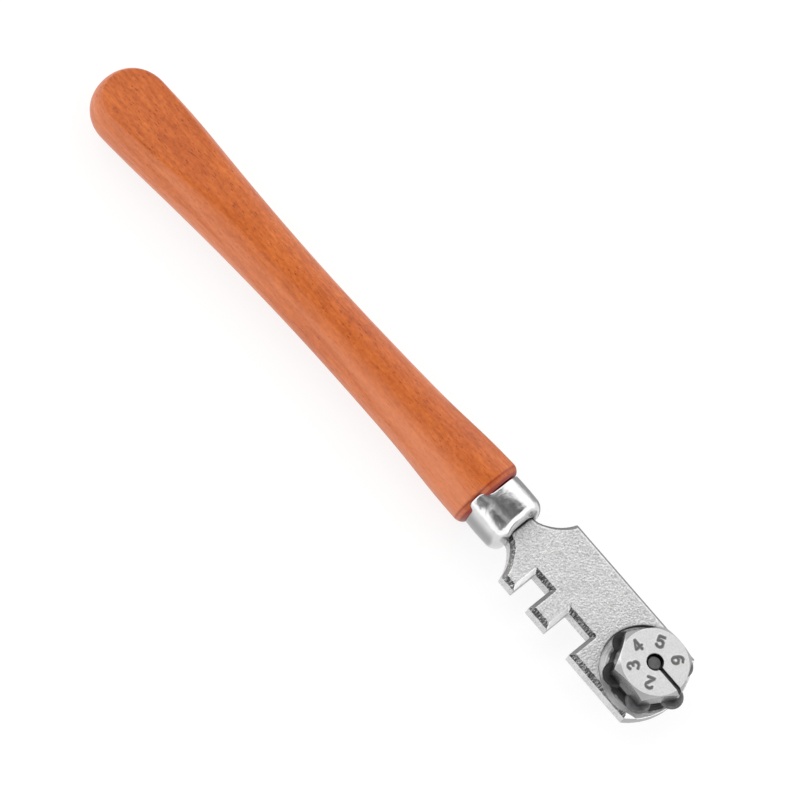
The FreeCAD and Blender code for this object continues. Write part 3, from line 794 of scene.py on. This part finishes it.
def plated_material():
    """Nickel-plated casting: a pitted satin skin, bevels with painted light and shade, a recess with painted
    light and shade and grease, and painted shade with dirt at the neck seat.
    """
    material, tree, shader = new_material("plated_casting", 0.9, 0.45, (0.78, 0.77, 0.76))
    vector = object_coords(tree)
    pits = noise_node(tree, vector, 2600.0, 3.0, 0.6)
    cloud = noise_node(tree, vector, 260.0, 3.0, 0.5)
    nickels = [(0.30, (0.46, 0.455, 0.455)), (0.5, (0.68, 0.675, 0.675)), (0.72, (0.80, 0.795, 0.795))]
    tint = ramp(tree, cloud, [(0.35, grey(0.93)), (0.65, grey(1.0))])
    color = mix(tree, 1.0, ramp(tree, pits, nickels), tint, "MULTIPLY")
    place = add(tree, "SeparateXYZ")
    tree.links.new(vector, place.inputs["Vector"])
    normal = normal_parts(tree)
    color = bevel_tones(tree, color, place.outputs, normal)
    color = recess_tones(tree, color, place.outputs, normal)
    # Painted shade with dirt: the neck's last half millimetre, in the crease where it enters the ferrule, is
    # painted near black.
    seat = (PIVOT.x - FERRULE_FRONT - FERRULE_DISH) * MM
    seat_shade_and_dirt = map_range(tree, place.outputs["X"], seat + 0.0006, seat + 0.0001, 0.0, 1.0)
    color = mix(tree, seat_shade_and_dirt, color, grey(0.02))
    tree.links.new(color, shader.inputs["Base Color"])
    rough = ramp(tree, pits, [(0.3, grey(0.58)), (0.7, grey(0.46))])
    tree.links.new(rough, shader.inputs["Roughness"])
    bump(tree, shader, pits, 0.3, 0.00006)
    return material


def chrome_material():
    """Bright drawn steel with faint drawing lines, a little haze and painted dark reflections on the sides
    facing +Y and -Y.
    """
    material, tree, shader = new_material("bright_ferrule", 1.0, 0.12, (0.84, 0.835, 0.83))
    lines = noise_node(tree, object_coords(tree, (120, 1500, 1500)), 1.0, 2.0, 0.5)
    haze = noise_node(tree, object_coords(tree), 330.0, 3.0, 0.5)
    tree.links.new(ramp(tree, haze, [(0.35, grey(0.17)), (0.7, grey(0.25))]), shader.inputs["Roughness"])
    color = ramp(tree, haze, [(0.3, (0.60, 0.595, 0.60)), (0.7, (0.70, 0.695, 0.70))])
    sideways = normal_parts(tree)["Y"]
    # Painted reflection: the side facing +Y is painted dark in patches and the side facing -Y darker grey, as
    # dark surroundings reflected.
    far_edge_dark_reflection = ramp(tree, haze, [(0.4, grey(0.04)), (0.65, grey(0.20))])
    color = mix(tree, map_range(tree, sideways, 0.80, 0.90, 0.0, 1.0), color, far_edge_dark_reflection)
    color = mix(tree, map_range(tree, sideways, -0.88, -0.995, 0.0, 1.0), color, grey(0.34))
    tree.links.new(color, shader.inputs["Base Color"])
    bump(tree, shader, lines, 0.06, 0.00004)
    bump(tree, shader, haze, 0.35, 0.0004)
    return material


def cap_material():
    """Satin face with a fine grain, darker smoother sides, painted shade on the sloped edge round the face
    except where it faces -X and -Y, and black in the stamped digits.
    """
    material, tree, shader = new_material("turret_cap_steel", 1.0, 0.35, (0.72, 0.71, 0.70))
    vector = object_coords(tree)
    grain = noise_node(tree, vector, 3600.0, 3.0, 0.6)
    normal = normal_parts(tree)
    side = map_range(tree, normal["Z"], 0.35, 0.1, 0.0, 1.0)
    light = ramp(tree, grain, [(0.3, (0.66, 0.655, 0.655)), (0.7, (0.80, 0.795, 0.795))])
    dark = ramp(tree, grain, [(0.3, grey(0.24)), (0.7, grey(0.32))])
    # Painted shade: the sloped edge round the face is painted darker grey, except on the side facing -X and -Y.
    slope = band(tree, normal["Z"], 0.45, 0.93, 0.04)
    away = map_range(tree, math_node(tree, "SUBTRACT", normal["X"], normal["Y"]), 0.0, 0.25, 0.0, 1.0)
    above = map_range(tree, normal["Y"], -0.25, -0.1, 0.0, 1.0)
    color = mix(tree, product(tree, slope, math_node(tree, "MAXIMUM", away, above)), light, grey(0.36))
    color = mix(tree, side, color, dark)
    stamped = add(tree, "Attribute", attribute_name="stamped")
    color = mix(tree, stamped.outputs["Fac"], color, grey(0.19))
    tree.links.new(color, shader.inputs["Base Color"])
    tree.links.new(mix(tree, side, grey(0.55), grey(0.26)), shader.inputs["Roughness"])
    bump(tree, shader, grain, 0.25, 0.00006)
    return material


def dark_steel(name, color, roughness, shaded_rear_brightness=1.0):
    """Dark hardened or oiled steel with fine grinding marks; the last argument is the brightness left on its
    rear half, a painted shade.
    """
    material, tree, shader = new_material(name, 1.0, roughness, color)
    vector = object_coords(tree)
    marks = noise_node(tree, vector, 5200.0, 3.0, 0.6)
    cloud = noise_node(tree, vector, 700.0, 3.0, 0.5)
    low, high = tuple(0.72 * part for part in color), tuple(1.2 * part for part in color)
    shade = ramp(tree, cloud, [(0.3, low), (0.7, high)])
    place = add(tree, "SeparateXYZ")
    tree.links.new(vector, place.inputs["Vector"])
    # Painted shade: towards -X the colour is darkened to the given brightness.
    rear = map_range(tree, place.outputs["X"], (PIVOT.x - 2.0) * MM, (PIVOT.x + 1.0) * MM, shaded_rear_brightness, 1.0)
    darkened = mix(tree, 1.0, shade, rear, "MULTIPLY")
    tree.links.new(darkened, shader.inputs["Base Color"])
    rough = ramp(tree, marks, [(0.3, grey(roughness + 0.1)), (0.7, grey(roughness - 0.06))])
    tree.links.new(rough, shader.inputs["Roughness"])
    bump(tree, shader, marks, 0.2, 0.00004)
    return material


# ---------------------------------------------------------------- stage


FLOOR_REACH = 3.0
CARD_LIFT = 0.0003
CARD_NEAR = 0.0095
CARD_FAR = 0.09
CARD_REAR = 0.07
CARD_FRONT = 0.036
OPENING_TILT = math.radians(13.0)
OPENING_HALF_TILT = math.radians(62.0)
OPENING_ACROSS = 0.14
OPENING_HALF_ACROSS = 0.38
OPENING_POWER = 2.6
STREAK_TILT = math.radians(32.0)


def level_sheet(name, rear, front, near, far, height):
    """Level rectangle from rear to front on X and from near to far on Y, in metres."""
    mesh = bpy.data.meshes.new(name)
    corners = [(rear, near, height), (front, near, height), (front, far, height), (rear, far, height)]
    mesh.from_pydata(corners, [], [(0, 1, 2, 3)])
    sheet = bpy.data.objects.new(name, mesh)
    bpy.context.scene.collection.objects.link(sheet)
    return sheet


def make_floor():
    """Plain white floor under the tool, bright enough to lose nearly all shadow."""
    floor = level_sheet("floor", -FLOOR_REACH, FLOOR_REACH, -FLOOR_REACH, FLOOR_REACH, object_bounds()[0][2])
    material, tree, shader = new_material("white_floor", 0.0, 0.9, (0.20, 0.20, 0.20))
    shader.inputs["Specular IOR Level"].default_value = 0.0
    distance = add(tree, "VectorMath", operation="LENGTH")
    tree.links.new(object_coords(tree), distance.inputs[0])
    glow = map_range(tree, distance.outputs["Value"], 0.2, 0.8, 1.0, 0.85)
    tree.links.new(glow, shader.inputs["Emission Color"])
    shader.inputs["Emission Strength"].default_value = 0.80
    floor.data.materials.append(material)
    floor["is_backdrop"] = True


def make_edge_card():
    """Grey card on the floor beside the ferrule, seen only in reflections, to draw the metal's far edge."""
    rear, front = PIVOT.x * MM - CARD_REAR, PIVOT.x * MM - CARD_FRONT
    card = level_sheet("edge_card", rear, front, CARD_NEAR, CARD_FAR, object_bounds()[0][2] + CARD_LIFT)
    material, tree, shader = new_material("grey_card", 0.0, 0.9, (0.05, 0.05, 0.05))
    patches = noise_node(tree, object_coords(tree), 110.0, 2.0, 0.5)
    tones = ramp(tree, patches, [(0.38, grey(0.16)), (0.62, grey(0.50))])
    tree.links.new(tones, shader.inputs["Emission Color"])
    shader.inputs["Emission Strength"].default_value = 1.0
    card.data.materials.append(material)
    card.visible_camera = False
    card.visible_diffuse = False
    card.visible_shadow = False
    card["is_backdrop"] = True


def view_axes():
    """Right, up and backward axes of the camera."""
    azimuth, elevation = math.radians(CAMERA_AZIMUTH), math.radians(CAMERA_ELEVATION)
    level = math.cos(elevation)
    back = Vector((math.sin(azimuth) * level, -math.cos(azimuth) * level, math.sin(elevation)))
    right = Vector((math.cos(azimuth), math.sin(azimuth), 0.0))
    up = back.cross(right)
    roll = math.radians(CAMERA_ROLL)
    turned_right = right * math.cos(roll) - up * math.sin(roll)
    turned_up = up * math.cos(roll) + right * math.sin(roll)
    return turned_right, turned_up, back


def make_camera():
    """Long-lens camera, looking down at the face of the head."""
    right, up, back = view_axes()
    data = bpy.data.cameras.new("camera")
    data.sensor_width = SENSOR_WIDTH
    data.lens = SENSOR_WIDTH * CAMERA_DISTANCE / FRAME_WIDTH
    data.clip_end = 20.0
    camera = bpy.data.objects.new("camera", data)
    bpy.context.scene.collection.objects.link(camera)
    aim = (PIVOT + Vector((-AIM_BEHIND_PIVOT, AIM_ASIDE, 0.0))) * MM
    facing = Matrix((right, up, back)).transposed().to_4x4()
    camera.matrix_world = Matrix.Translation(aim + back * CAMERA_DISTANCE) @ facing
    bpy.context.scene.camera = camera


def area_light(name, direction, distance, size, power):
    """Square soft light that faces the tool and is left out of its reflections."""
    data = bpy.data.lights.new(name, "AREA")
    data.shape = "SQUARE"
    data.size = size
    data.energy = power
    lamp = bpy.data.objects.new(name, data)
    bpy.context.scene.collection.objects.link(lamp)
    toward = Vector(direction).normalized()
    lamp.location = toward * distance
    lamp.rotation_euler = toward.to_track_quat("Z", "Y").to_euler()
    lamp.visible_glossy = False


def make_world():
    """White tent with a long dark opening over the tool, uneven inside, where the camera looks in."""
    world = bpy.data.worlds.new("studio")
    bpy.context.scene.world = world
    world.use_nodes = True
    tree = world.node_tree
    background = tree.nodes["Background"]
    coords = add(tree, "TexCoord")
    split = add(tree, "SeparateXYZ")
    tree.links.new(coords.outputs["Generated"], split.inputs["Vector"])
    forward = math_node(tree, "MULTIPLY", split.outputs["Y"], -1.0)
    tilt = math_node(tree, "ARCTAN2", forward, split.outputs["Z"])
    past_tilt = math_node(tree, "SUBTRACT", tilt, OPENING_TILT)
    past_across = math_node(tree, "SUBTRACT", split.outputs["X"], OPENING_ACROSS)
    shares = []
    for past, half in ((past_tilt, OPENING_HALF_TILT), (past_across, OPENING_HALF_ACROSS)):
        share = math_node(tree, "ABSOLUTE", math_node(tree, "DIVIDE", past, half))
        shares.append(math_node(tree, "POWER", share, OPENING_POWER))
    outward = math_node(tree, "ADD", shares[0], shares[1])
    patches = noise_node(tree, coords.outputs["Generated"], 3.2, 2.0, 0.5)
    inside = ramp(tree, patches, [(0.36, grey(0.03)), (0.52, grey(0.10)), (0.66, grey(0.30))])
    streak = math_node(tree, "ABSOLUTE", math_node(tree, "SUBTRACT", tilt, STREAK_TILT))
    inside = mix(tree, map_range(tree, streak, 0.06, 0.2, 0.7, 0.0), inside, grey(0.40))
    opening = map_range(tree, outward, 0.75, 1.2, 1.0, 0.0)
    color = mix(tree, opening, grey(1.0), inside)
    tree.links.new(color, background.inputs["Color"])
    background.inputs["Strength"].default_value = 1.65


def main():
    """Stage first, then every piece of the tool."""
    make_camera()
    make_world()
    make_floor()
    make_edge_card()
    bpy.context.scene.view_settings.view_transform = "Standard"
    area_light("overhead", (0.1, 0.5, 1.0), 1.0, 0.7, 1.0)
    area_light("left", (-0.6, -0.9, 0.8), 1.1, 0.5, 0.8)
    make_handle(wood_material())
    make_ferrule(chrome_material())
    make_head(plated_material())
    make_cap(cap_material())
    make_wheels(dark_steel("wheel_steel", (0.15, 0.15, 0.154), 0.6, shaded_rear_brightness=0.3))
    plain = dark_steel("inner_steel", (0.05, 0.05, 0.052), 0.5)
    screw = dark_steel("screw_steel", (0.17, 0.17, 0.172), 0.5)
    make_eased("base_disc", "turret_base", "turret", 0.12, plain)
    make_eased("pivot_screw_steel", "pivot_screw", "turret", 0.09, screw)
    make_eased("thrust_washer_steel", "thrust_washer", "tool", 0.08, plain)
    make_eased("spring_washer_steel", "spring_washer", "tool", 0.07, plain)
    for number, axle in enumerate(AXLE_NAMES, start=1):
        make_eased(f"axle_pin_{number}", axle, "turret", 0.05, screw)


main()
